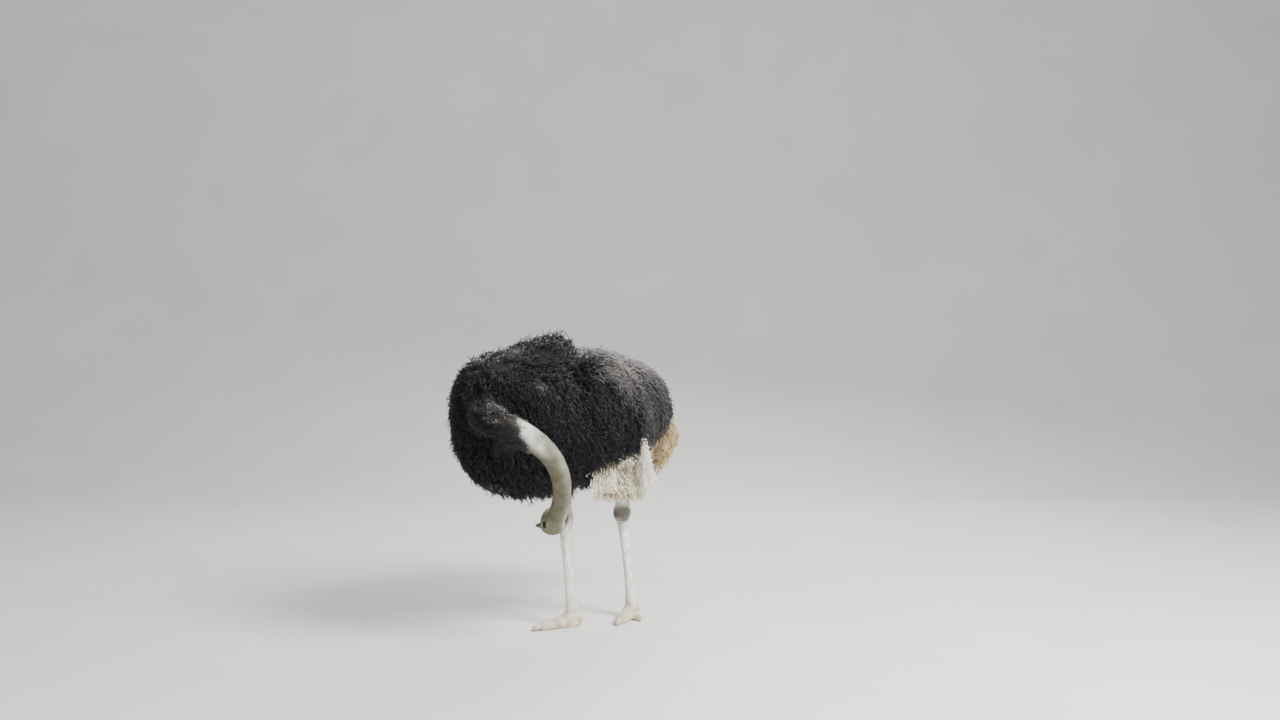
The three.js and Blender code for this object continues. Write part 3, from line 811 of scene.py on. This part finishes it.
def coat_piece(name, locks, outward, wide, on_map, low, high, finish, flat=0.45):
    """Makes thin three-sided locks, closed at root and tip, into one mesh with its OFBake map.
    locks is tufts x locks x points; low and high are each tuft's colours at its root and its tip."""
    tufts, each, points = locks.shape[:3]
    path = locks.reshape(-1, points, 3)
    up = outward.reshape(-1, 3)
    wide = wide.reshape(-1)
    count = len(path)
    rings = points - 1
    run = unit(path[:, 1:] - path[:, :-1])
    side = unit(np.cross(run, up[:, None]))
    rise = np.cross(side, run)
    share = np.arange(rings) / rings
    profile = (0.55 + 0.9 * share) * (1 - 0.55 * share ** 2)
    half = 0.5 * wide[:, None, None] * profile[None, :, None]
    centre = path[:, :-1]
    ring = np.stack([
        centre - side * half - rise * half * flat,
        centre + rise * half * flat * 1.4,
        centre + side * half - rise * half * flat,
    ], axis=2)
    vertices = np.concatenate([ring.reshape(count, rings * 3, 3), path[:, -1:]], axis=1)
    size = rings * 3 + 1
    faces = [(0, 1, 2)]
    for r in range(rings - 1):
        for s in range(3):
            a, b = r * 3 + s, r * 3 + (s + 1) % 3
            faces += [(a, b + 3, b), (a, a + 3, b + 3)]
    last = (rings - 1) * 3
    faces += [(last + s, size - 1, last + (s + 1) % 3) for s in range(3)]
    faces = np.array(faces)
    triangles = (np.arange(count)[:, None, None] * size + faces[None]).reshape(-1, 3)
    data = bpy.data.meshes.new(name)
    data.vertices.add(count * size)
    data.vertices.foreach_set("co", vertices.ravel())
    data.loops.add(len(triangles) * 3)
    data.loops.foreach_set("vertex_index", triangles.ravel().astype(np.int32))
    data.polygons.add(len(triangles))
    data.polygons.foreach_set("loop_start", np.arange(0, len(triangles) * 3, 3, dtype=np.int32))
    smooth_faces(data)
    data.update(calc_edges=True)
    grown = np.append(np.repeat(share, 3), 1.0)
    around = np.append(np.tile([0.0, 0.5, 1.0], rings), 0.5)
    lock_row = np.tile((np.arange(each) + 0.5) / each, tufts)
    patch = np.empty((count, size, 2))
    patch[..., 0] = (lock_row[:, None] + (around[None] - 0.5) * 0.6 / each - 0.5) * TUFT_PATCH
    patch[..., 1] = (grown[None] - 0.5) * TUFT_PATCH
    patch += np.repeat(on_map, each, axis=0)[:, None, :]
    layer = data.uv_layers.new(name="OFBake")
    layer.data.foreach_set("uv", patch.reshape(-1, 2)[triangles.ravel()].ravel())
    piece = placed(name, data)
    low, high = np.repeat(low, each, axis=0), np.repeat(high, each, axis=0)
    colours = low[:, None] * (1 - grown[None, :, None]) + high[:, None] * grown[None, :, None]
    add_marking(piece, colours.reshape(-1, 3))
    data.materials.append(finish)
    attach(piece, "root")
    return piece


# Plume: soft barbs with no hooks, so that they part into loose, curly locks with a dull silky sheen.
def plume_finish(name, roughness, gloss, sheen, tint):
    """The finish of one kind of plume, coloured by its markings."""
    made, tree, shader = new_finish(
        name, Roughness=roughness, Specular_IOR_Level=gloss, Sheen_Weight=sheen, Sheen_Roughness=0.45,
        Sheen_Tint=srgb(tint),
    )
    # barbules: a mottle finer than a millimetre on the real plume, drawn at six so that it shows
    mottled(tree, shader, scale=160, detail=2, spread=(0.3, 0.7), strength=(0.7, 1.3))
    return made


black_plume = plume_finish("black_plume", roughness=0.40, gloss=0.30, sheen=0.04, tint="aeb4c8")
white_plume = plume_finish("white_plume", roughness=0.70, gloss=0.40, sheen=0.35, tint="fff8ea")
down_finish = plume_finish("short_down", roughness=0.75, gloss=0.40, sheen=0.10, tint="f4efe6")

# The body plumes: soft plumes of 9 to 16 cm over breast, mantle, back, rump and wings, black on the sides
# and front, grey-brown over the back where the sun has bleached them; the grey is painted lighter towards
# the top, partly as painted light from above. They stand up as a ruff at the edge of the cape.
PLUME_LENGTH = 0.125
BARB_REACH = 0.044
BARB_WIDTH = 0.0048
BARBS = 14
CLUMP = 0.042
# painted highlights on the shoulder and on the root of the neck, where light catches the plumes, and one
# cream fleck on the breast
SHOULDER_SHEEN = np.array((0.0, -0.560, 1.225))
NECK_ROOT_SHEEN = np.array((0.212, -0.668, 1.046))
BREAST_FLECK = np.array((-0.010, -0.520, 0.760))
FLECK_REACH = 0.014
CAPE_MIDDLE = np.array((-0.023, -0.017, 1.341))
CAPE_OUTWARD = np.array((0.754, 0.59, 0.291))
CAPE_FRINGE = -0.034
CAPE_SIDE = 1.16
RUFF_RISE = 0.034
# where the grey starts on the sides, at several heights, and the cream skirt over each thigh: its middle and
# its reach, seen from above
GREY_LINE_HEIGHT = (0.78, 0.914, 1.012, 1.089, 1.138, 1.185, 1.25)
GREY_LINE = (0.15, 0.030, -0.006, -0.050, -0.112, -0.165, -0.260)
SKIRT_LEVEL = (0.838, 0.850)
SKIRT_LEFT = ((0.28, 0.08), (0.17, 0.23))
SKIRT_RIGHT = ((-0.32, -0.06), (0.17, 0.24))


def short_of_cape(path, owner):
    """Shortens the plumes high on the mantle, so that their shafts end short of the edge of the cape."""
    for _ in range(7):
        tips = path[:, -1] - CAPE_MIDDLE
        beyond = np.abs(tips[:, 0]) * CAPE_OUTWARD[0] + tips[:, 1:] @ CAPE_OUTWARD[1:]
        far = (beyond > CAPE_FRINGE) & (owner == "breast") & (path[:, 0, 2] > CAPE_SIDE)
        path[far] = path[far, :1] + (path[far] - path[far, :1]) * 0.78
    return path


def grey_share(roots):
    """How grey a plume is: back and rump are bleached right behind the cape and behind a line that falls
    over the wing; in front of it everything is black."""
    drift = waves(roots.place, 0.07, 21)
    line = np.interp(roots.place[:, 2], GREY_LINE_HEIGHT, GREY_LINE)
    behind = smoothstep(-0.012, 0.020, roots.place[:, 1] - line + 0.02 * drift[:, 0])
    return behind * (roots.owner != "breast")


def beside_thigh(place):
    """How far out and back a place lies from the middle line, along a slant from shoulder to thigh."""
    along = place[:, 1] + np.where(place[:, 0] > 0, 0, 0.15)
    return 0.77 * np.abs(place[:, 0]) + 0.64 * along


def cream_share(roots):
    """How cream a plume is: the black ends in a skirt over each thigh, and below it the down shows."""
    off_skirt = [
        np.linalg.norm((roots.place[:, :2] - middle) / reach, axis=1)
        for middle, reach in (SKIRT_LEFT, SKIRT_RIGHT)
    ]
    level = roots.place[:, 2] + 0.02 * waves(roots.place, 0.04, 24)[:, 0]
    below = 1 - smoothstep(*SKIRT_LEVEL, level)
    return below * (np.minimum(*off_skirt) < 1) * (beside_thigh(roots.place) > 0.140)


def plume_colours(roots, seed):
    """The colours of each body plume at its root and its tip."""
    dice = np.random.default_rng(seed)
    count = len(roots.place)
    drift = waves(roots.place, 0.05, 22)
    shade = np.clip(dice.beta(1.0, 4.0, count) + 0.30 * drift[:, 0], 0, 1)
    lit = np.where(dice.random(count) < 0.09, 1.0, 0.0) * smoothstep(-0.2, 0.3, drift[:, 1])
    grey = grey_share(roots)
    # the grey is lighter higher up: partly bleaching, partly painted light falling from above
    bleached_and_lit = 0.02 + 0.60 * smoothstep(1.09, 1.31, roots.place[:, 2] + 0.05 * drift[:, 2])
    low = mixed(tone("black", shade * 0.5), tone("grey", bleached_and_lit * 0.6), grey)
    high = mixed(
        tone("black", shade * 1.1 + 0.05 + lit), tone("grey", bleached_and_lit + dice.normal(0, 0.14, count)), grey
    )
    # near the two highlight spots many plume tips are painted grey: a painted highlight
    off_sheen = [away_from(spot, roots.place) for spot in (SHOULDER_SHEEN, NECK_ROOT_SHEEN)]
    retinted = 1 - smoothstep(0.02, 0.09, np.minimum(*off_sheen))
    sheen_grey = tone("grey", 0.4 + 0.5 * dice.random(count))
    high = mixed(high, sheen_grey, retinted * (dice.random(count) < 0.6) * 0.8)
    creamy = cream_share(roots)
    low = mixed(low, tone("cream", shade + 0.3), creamy)
    flecked = away_from(BREAST_FLECK, roots.place) < FLECK_REACH
    high = mixed(high, tone("cream", shade + 0.6), np.maximum(creamy, 0.7 * flecked))
    return low, high


body_regions = (
    ("coat_breast", ["breast", "neck_base"], 0.0222, 4),
    ("coat_back", ["back", "rump"], 0.0242, 3),
    ("coat_wing_right", ["wing_right"], 0.0205, 1),
    ("coat_wing_left", ["wing_left"], 0.0205, 1),
)
trunk_tree = tree_of(["breast", "back", "rump", "wing_right", "wing_left", "neck_base", "neck_middle"])
for seed, (name, solids, spacing, parts) in enumerate(body_regions):
    roots = scatter(solids, spacing, 100 + seed)
    dice = np.random.default_rng(200 + seed)
    roots = roots.where((roots.facing[:, 2] > -0.6) | (dice.random(len(roots.place)) < 0.55))
    count = len(roots.place)
    clumped = np.clip(0.75 + 0.9 * waves(roots.place, CLUMP, 25 + seed)[:, 0], 0.15, 1.3)
    lift = depth_of(roots.owner) * dice.uniform(0.2, 1.0, count) * clumped
    off_edge = np.abs(roots.place - CAPE_MIDDLE) * (1, 0, 0) + (roots.place - CAPE_MIDDLE) * (0, 1, 1)
    ruff = (roots.owner == "breast") * smoothstep(-0.11, -0.04, off_edge @ CAPE_OUTWARD)
    ruff = ruff * smoothstep(1.18, 1.26, roots.place[:, 2])
    lift = lift + RUFF_RISE * ruff * dice.random(count)
    low_edge = smoothstep(-0.25, -0.8, roots.facing[:, 2]) * 0.8
    size = np.where(roots.owner == "neck_base", 0.6, 1.0)
    path, facings = laid(
        roots, lie_of_body, PLUME_LENGTH * size * dice.uniform(0.75, 1.25, count), lift, hang=low_edge,
        seed=300 + seed,
    )
    path = short_of_cape(path, roots.owner)
    long_tips = (dice.random(count) < 0.16) & (roots.facing[:, 2] < -0.3) & (roots.owner == "breast")
    path = drawn_in(path, trunk_tree, np.maximum(np.where(long_tips, 0.032, 0.007), 0.030 * ruff))
    locks, outward, wide = barbed(
        path, facings, BARBS, BARB_REACH * size[:, None], BARB_WIDTH * size[:, None], curl=0.50,
        seed=400 + seed,
    )
    low, high = plume_colours(roots, 500 + seed)
    order = np.argsort(roots.place[:, 1], kind="stable")
    for part, members in enumerate(np.array_split(order, parts)):
        coat_piece(
            f"{name}_{part + 1}" if parts > 1 else name, locks[members], outward[members], wide[members],
            roots.on_map[members], low[members], high[members], black_plume,
        )

# Hanging plumes: the drooping tail, straw yellow and brown, and the white plumes behind each wing's edge.
# Each bunch fills its solid: a line down its middle, with the half width and depth there.
RIPPLE = 0.024


def bunch(name, line, half_wide, half_deep, across, count, barbs, reach, width, colours, seed):
    """A bunch of plumes hanging down a line; across is the way its width runs."""
    dice = np.random.default_rng(seed)
    line = np.array(line)
    across = unit(np.array(across, dtype=float))
    shares = np.linspace(0, 1, len(line))
    turn, radius = dice.uniform(0, 2 * np.pi, count), np.sqrt(dice.random(count))
    beside, behind = np.cos(turn) * radius, np.sin(turn) * radius
    first, last = dice.uniform(0.0, 0.35, count), dice.uniform(0.66, 1.0, count)
    at = first[:, None] + (last - first)[:, None] * np.linspace(0, 1, 6)[None]
    centre = np.stack([np.interp(at, shares, line[:, axis]) for axis in range(3)], axis=-1)
    travel = unit(np.gradient(centre, axis=1))
    deep = unit(np.cross(np.broadcast_to(across, travel.shape), travel))
    wide_here = np.interp(at, shares, half_wide)[..., None] * beside[:, None, None]
    deep_here = np.interp(at, shares, half_deep)[..., None] * behind[:, None, None]
    ripple = waves(centre.reshape(-1, 3) + radius.repeat(6)[:, None], 0.09, seed).reshape(centre.shape)
    path = centre + across * wide_here + deep * deep_here + ripple * RIPPLE
    out = unit(across * beside[:, None, None] + deep * behind[:, None, None] + 1e-6)
    out = np.broadcast_to(out, path.shape)
    reach = reach * np.linspace(0.35, 1.0, barbs)[None]
    locks, outward, wide = barbed(path, out, barbs, reach, width, curl=0.40, seed=seed + 1)
    on_map = bed_map[nearest_on(bed_tree, path[:, 0])[2]].mean(1)
    low, high = colours(dice, path)
    return coat_piece(name, locks, outward, wide, on_map, low, high, white_plume)


def tail_colours(dice, path):
    """Straw yellow, with brown stains that grow towards the ground and towards the body."""
    lower = smoothstep(0.90, 0.70, path[:, 3, 2]) * smoothstep(0.68, 0.60, path[:, 3, 1])
    stain = np.clip(dice.normal(0.10, 0.35, len(path)) + 2.2 * waves(path[:, 3], 0.035, 31)[:, 0], 0, 1)
    stain = np.clip(stain + 0.8 * lower, 0, 1)
    straw = tone("straw", 0.4 + 0.5 * dice.random(len(path)))
    low = mixed(straw, tone("stained", 0.3), 0.15 + 0.85 * stain)
    high = mixed(tone("straw", 0.75 + 0.6 * dice.random(len(path))), tone("stained", 0.3), stain)
    muddy = 0.9 * lower * (dice.random(len(path)) < 0.4)
    low, high = mixed(low, tone("brown", 0.2), muddy), mixed(high, tone("brown", 0.4), muddy)
    return low, high


def white_colours(dice, path):
    """White, faintly soiled."""
    shade = dice.random(len(path))
    return tone("white", 0.3 + 0.6 * shade), mixed(tone("white", 0.6 + shade), tone("cream", shade), 0.3)


# the middle line of the tail, and that of the left white plumes, which the right ones mirror
TAIL_LINE = [
    (-0.023, 0.560, 0.985), (-0.023, 0.640, 0.940), (-0.023, 0.668, 0.840), (-0.023, 0.626, 0.745),
    (-0.023, 0.575, 0.680),
]
WHITE_LINE = [
    (0.408, 0.040, 0.905), (0.385, 0.078, 0.850), (0.345, 0.130, 0.760), (0.323, 0.165, 0.690),
    (0.313, 0.175, 0.640),
]
MIDDLE = -0.023
tail = bunch(
    "coat_tail", TAIL_LINE, (0.080, 0.104, 0.110, 0.100, 0.062), (0.050, 0.060, 0.066, 0.064, 0.040),
    across=(1, 0, 0), count=165, barbs=38, reach=0.050, width=0.0036, colours=tail_colours, seed=41,
)
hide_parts("tail")
for name, side in (("left", 1), ("right", -1)):
    white = bunch(
        f"coat_plumes_{name}", [(side * x + MIDDLE, y, z) for x, y, z in WHITE_LINE],
        (0.004, 0.016, 0.046, 0.068, 0.070), (0.005, 0.012, 0.030, 0.044, 0.044),
        across=(-0.45 * side, 1, 0), count=74, barbs=32, reach=0.046, width=0.0036, colours=white_colours,
        seed=51 + side,
    )
    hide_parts(f"plumes_{name}")

# Thigh down: dense, matted cream down that hangs over the shank, stained brown by mud. A fringe of it also
# hangs straight down from the flank and belly in front of each thigh.
THIGH_END = 0.612
ROOT_ABOVE_END = 0.045
BELLY_TOP = 0.80
THIGH_FRONT = (0.05, -0.10)
FRINGE_INNER = 0.17
FRINGE_BESIDE = 0.118
THIGH_HANG = 2.0
FRINGE_HANG = 6.0
MUD_SPOTS = ((0.262, 0.135, 0.665), (0.225, -0.005, 0.725))
roots = scatter(["thigh_right", "thigh_left"], spacing=0.0130, seed=61)
# the fringe is rooted in front of each thigh, away from the middle of the belly, and falls straight down
fringe = scatter(["wing_right", "wing_left", "breast", "back"], spacing=0.0170, seed=66)
x, y, z = fringe.place.T
in_front = (y < np.where(x > 0, *THIGH_FRONT)) & (np.abs(x) > FRINGE_INNER) & (z < BELLY_TOP)
fringe = fringe.where(in_front & (beside_thigh(fringe.place) > FRINGE_BESIDE))
hang = np.repeat([THIGH_HANG, FRINGE_HANG], [len(roots.place), len(fringe.place)])
roots = Roots(*(np.concatenate(both) for both in zip(vars(roots).values(), vars(fringe).values())))
high_enough = roots.place[:, 2] > THIGH_END + ROOT_ABOVE_END
roots, hang = roots.where(high_enough), hang[high_enough]
dice = np.random.default_rng(62)
count = len(roots.place)


def lie_of_thigh(place, facing):
    """Down the leg."""
    return np.broadcast_to(np.array([0.0, 0.06, -1.0]), place.shape).copy()


hanging = np.clip((roots.place[:, 2] - THIGH_END) * dice.uniform(0.75, 1.15, count), 0.05, 0.150)
path, facings = laid(
    roots, lie_of_thigh, hanging, 0.030 * dice.uniform(0.2, 1.3, count), hang=hang, seed=63,
)
locks, outward, wide = barbed(path, facings, barbs=8, reach=0.042, width=0.0046, curl=0.45, seed=64)
drift = waves(roots.place, 0.045, 65)
off_mud = [away_from(spot, roots.place) for spot in MUD_SPOTS]
muddy = 1.3 * (1 - smoothstep(0.030, 0.080, np.minimum(*off_mud)))
stain = np.clip(2.2 * drift[:, 0] + dice.normal(0.0, 0.20, count) + muddy, 0, 1)
shade = np.clip(0.85 + drift[:, 1] + dice.normal(0, 0.25, count), 0, 1)
low = mixed(tone("cream", shade + 0.3), tone("stained", 0.5), stain * 0.75)
high = mixed(tone("cream", shade + 0.5), tone("stained", 0.8), stain * 0.6)
coat_piece("coat_thighs", locks, outward, wide, roots.on_map, low, high, white_plume)

# Neck: dark plumes thin out over its root, and above them it has only short, pale, hair-like down that
# lies towards the body.
NECK_DOWN = 0.0056
DOWN_WIDTH = 0.0012
roots = scatter(["neck_base", "neck_middle"], spacing=0.0128, seed=71)
dice = np.random.default_rng(72)
dark, past = dark_share(roots.place, roots.facing)
roots = roots.where(dice.random(len(past)) < 1 - smoothstep(-0.06, 0.05, past))
dark, past = dark_share(roots.place, roots.facing)
count = len(past)
reach = 0.060 - 0.042 * smoothstep(-0.25, 0.02, past)
path, facings = laid(
    roots, lie_of_neck, reach * dice.uniform(0.7, 1.3, count), 0.010 * dice.uniform(0.3, 1.0, count),
    steps=3, seed=73,
)
path = drawn_in(path, trunk_tree, 0.010)
locks, outward, wide = barbed(
    path, facings, barbs=5, reach=(0.5 * reach)[:, None], width=0.0026, curl=0.30, seed=74
)
drift = waves(roots.place, 0.05, 70)
upper = smoothstep(-0.2, 0.6, roots.facing[:, 2])
shade = dice.random(count)
lit = upper * np.clip(0.15 + 1.2 * drift[:, 1], 0, 0.9) * smoothstep(-0.30, -0.16, past)
# pale streaks round the highlight spot on the root of the neck: a painted highlight
sheen_streak = 1 - smoothstep(0.03, 0.09, away_from(NECK_ROOT_SHEEN, roots.place))
lit = np.maximum(lit, 0.85 * sheen_streak * (dice.random(count) < 0.7))
low = mixed(tone("black", shade), tone("brown", shade), lit)
paler = np.clip(lit * (dice.random(count) < 0.4) + (1 - dark), 0, 1)
high = mixed(low, tone("pale_neck", 0.3 * shade), paler)
coat_piece("coat_neck_root", locks, outward, wide, roots.on_map, low, high, black_plume)

roots = scatter(["neck_middle", "neck_upper", "head"], spacing=NECK_DOWN, seed=75)
dice = np.random.default_rng(76)
forward, up, right = in_head(roots.place).T
by_eye = np.hypot(forward, up) < 0.024
roots = roots.where(~((roots.owner == "head") & (by_eye | (forward > 0.045))))
count = len(roots.place)
forward, up, right = in_head(roots.place).T
on_head = roots.owner == "head"
long = np.where(on_head, 0.006, 0.012) * dice.uniform(0.6, 1.4, count)
path, facings = laid(
    roots, lie_of_neck, long, np.where(on_head, 0.0010, 0.0020) * dice.uniform(0.3, 1.3, count),
    steps=2, seed=77,
)
drift = waves(roots.place, 0.02, 78)
shade = np.clip(0.45 + 0.45 * drift[:, 0] + dice.normal(0, 0.26, count), 0, 1)
base = neck_colours(roots.place, roots.facing, shade)
# on the head the down keeps the neck's paler colour on the outer side, which is painted highlight
head_share = on_head * (1 - 0.6 * smoothstep(0.35, 0.9, roots.facing @ LIT_OUTER_SIDE))
base = mixed(base, tone("head", shade), head_share)
wide = np.full((count, 1), DOWN_WIDTH) * dice.uniform(0.7, 1.4, (count, 1))
coat_piece(
    "coat_neck", path[:, None], facings[:, :1], wide, roots.on_map, base,
    mixed(base, tone("white", shade), 0.12), down_finish, flat=0.35,
)

# Horn: the bill and the claws, worn smooth, with a nail on the bill's tip and nostrils halfway along it.
HORN_STEP = 0.0011
HORN_SWELL = 0.0002


def horn_piece(name, node):
    """A closed smooth body over a CAD solid of horn."""
    made = object_from(joined_solids([node], swell=HORN_SWELL), name)
    apply_modifier(made, "REMESH", mode="VOXEL", voxel_size=HORN_STEP)
    set_points(made, relaxed(made, points_of(made), 14, 0.4))
    smooth_faces(made.data)
    return made


horn_finish, tree, shader = new_finish("horn", Roughness=0.34, Specular_IOR_Level=0.5, Coat_Weight=0.12)
# a cloudy tone within the horn, and dents a tenth of a millimetre deep
_, cloud = mottled(tree, shader, scale=190, detail=5, spread=(0.3, 0.7), strength=(0.84, 1.12))
bumped = add_node(tree, "ShaderNodeBump", {"Strength": 0.25, "Distance": 0.0004}, {"Height": cloud})
tree.links.new(bumped.outputs["Normal"], shader.inputs["Normal"])

head_tree = tree_of(["head"])
for node in ("bill_upper", "bill_lower"):
    bill = horn_piece(node + "_horn", node)
    spots = points_of(bill)
    on_skull, out, _ = nearest_on(head_tree, spots)
    gap = np.linalg.norm(spots - on_skull, axis=1)
    spots -= billwards * (0.008 * (1 - smoothstep(0.001, 0.004, gap)))[:, None]
    forward, up, right = in_head(spots).T
    facing = normals_of(bill)
    rise = 0.0006 * smoothstep(0.100, 0.104, forward)
    if node == "bill_upper":
        nostril = np.hypot((forward - 0.082) / 0.0075, (up - 0.004) / 0.0022)
        rise = rise - 0.0022 * (1 - smoothstep(0.4, 1.0, nostril)) + 0.0005 * bump(nostril, 1.3, 0.4)
    spots += facing * rise[:, None]
    set_points(bill, spots)
    shade = np.clip(0.5 + 0.5 * waves(spots, 0.012, 91)[:, 0], 0, 1)
    nail = smoothstep(0.095, 0.122, forward)
    colours = mixed(tone("bill", shade), tone("leg", shade * 0.5), nail * 0.35)
    # the nostril's dent is painted black: painted shade inside the opening
    if node == "bill_upper":
        colours = mixed(colours, tone("black", shade), 1 - smoothstep(0.5, 1.0, nostril))
    add_marking(bill, colours)
    bill.data.materials.append(horn_finish)
    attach(bill, "root")
    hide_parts(node)
for side in ("right", "left"):
    claw = horn_piece(f"claw_{side}_horn", f"claw_{side}")
    spots = points_of(claw)
    reach = spots @ HEADINGS[side]
    shade = np.clip(0.45 + 0.5 * waves(spots, 0.010, 92)[:, 0], 0, 1)
    far_end = smoothstep(reach.min() + 0.012, reach.max(), reach)
    add_marking(claw, mixed(tone("toe", shade), tone("hock", shade), far_end * 0.6))
    claw.data.materials.append(horn_finish)
    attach(claw, "root")
    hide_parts(f"claw_{side}")

# Eyes: large and wet, with a brown iris so dark that the pupil hardly shows.
eye_finish, tree, shader = new_finish(
    "wet_eye", Roughness=0.04, Specular_IOR_Level=0.2, Coat_Weight=0.05, Coat_Roughness=0.03
)
# the iris is finely flecked, about a millimetre wide
mottled(tree, shader, scale=900, detail=2, spread=(0.3, 0.7), strength=(0.75, 1.25))
PUPIL = 0.34
IRIS = 0.80
for side, place, outward_way in zip(("right", "left"), eye_places, (1, -1)):
    bpy.ops.object.select_all(action="DESELECT")
    bpy.ops.mesh.primitive_uv_sphere_add(segments=64, ring_count=40, radius=EYE_RADIUS - 0.0004)
    eye = bpy.context.object
    eye.name = f"eye_{side}_ball"
    spots = points_of(eye) + np.array(place)
    set_points(eye, spots)
    bpy.ops.object.shade_smooth()
    look = head_right * outward_way
    turned = np.arccos(np.clip(unit(spots - np.array(place)) @ look, -1, 1))
    iris = mixed(pigment("120a06"), pigment("2e1a0e"), smoothstep(PUPIL, IRIS, turned))
    colours = mixed(pigment("030303"), iris, smoothstep(PUPIL - 0.04, PUPIL + 0.02, turned))
    colours = mixed(colours, pigment("120b08"), smoothstep(IRIS - 0.05, IRIS + 0.05, turned))
    add_marking(eye, colours)
    eye.data.materials.append(eye_finish)
    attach(eye, "root")
    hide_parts(f"eye_{side}")
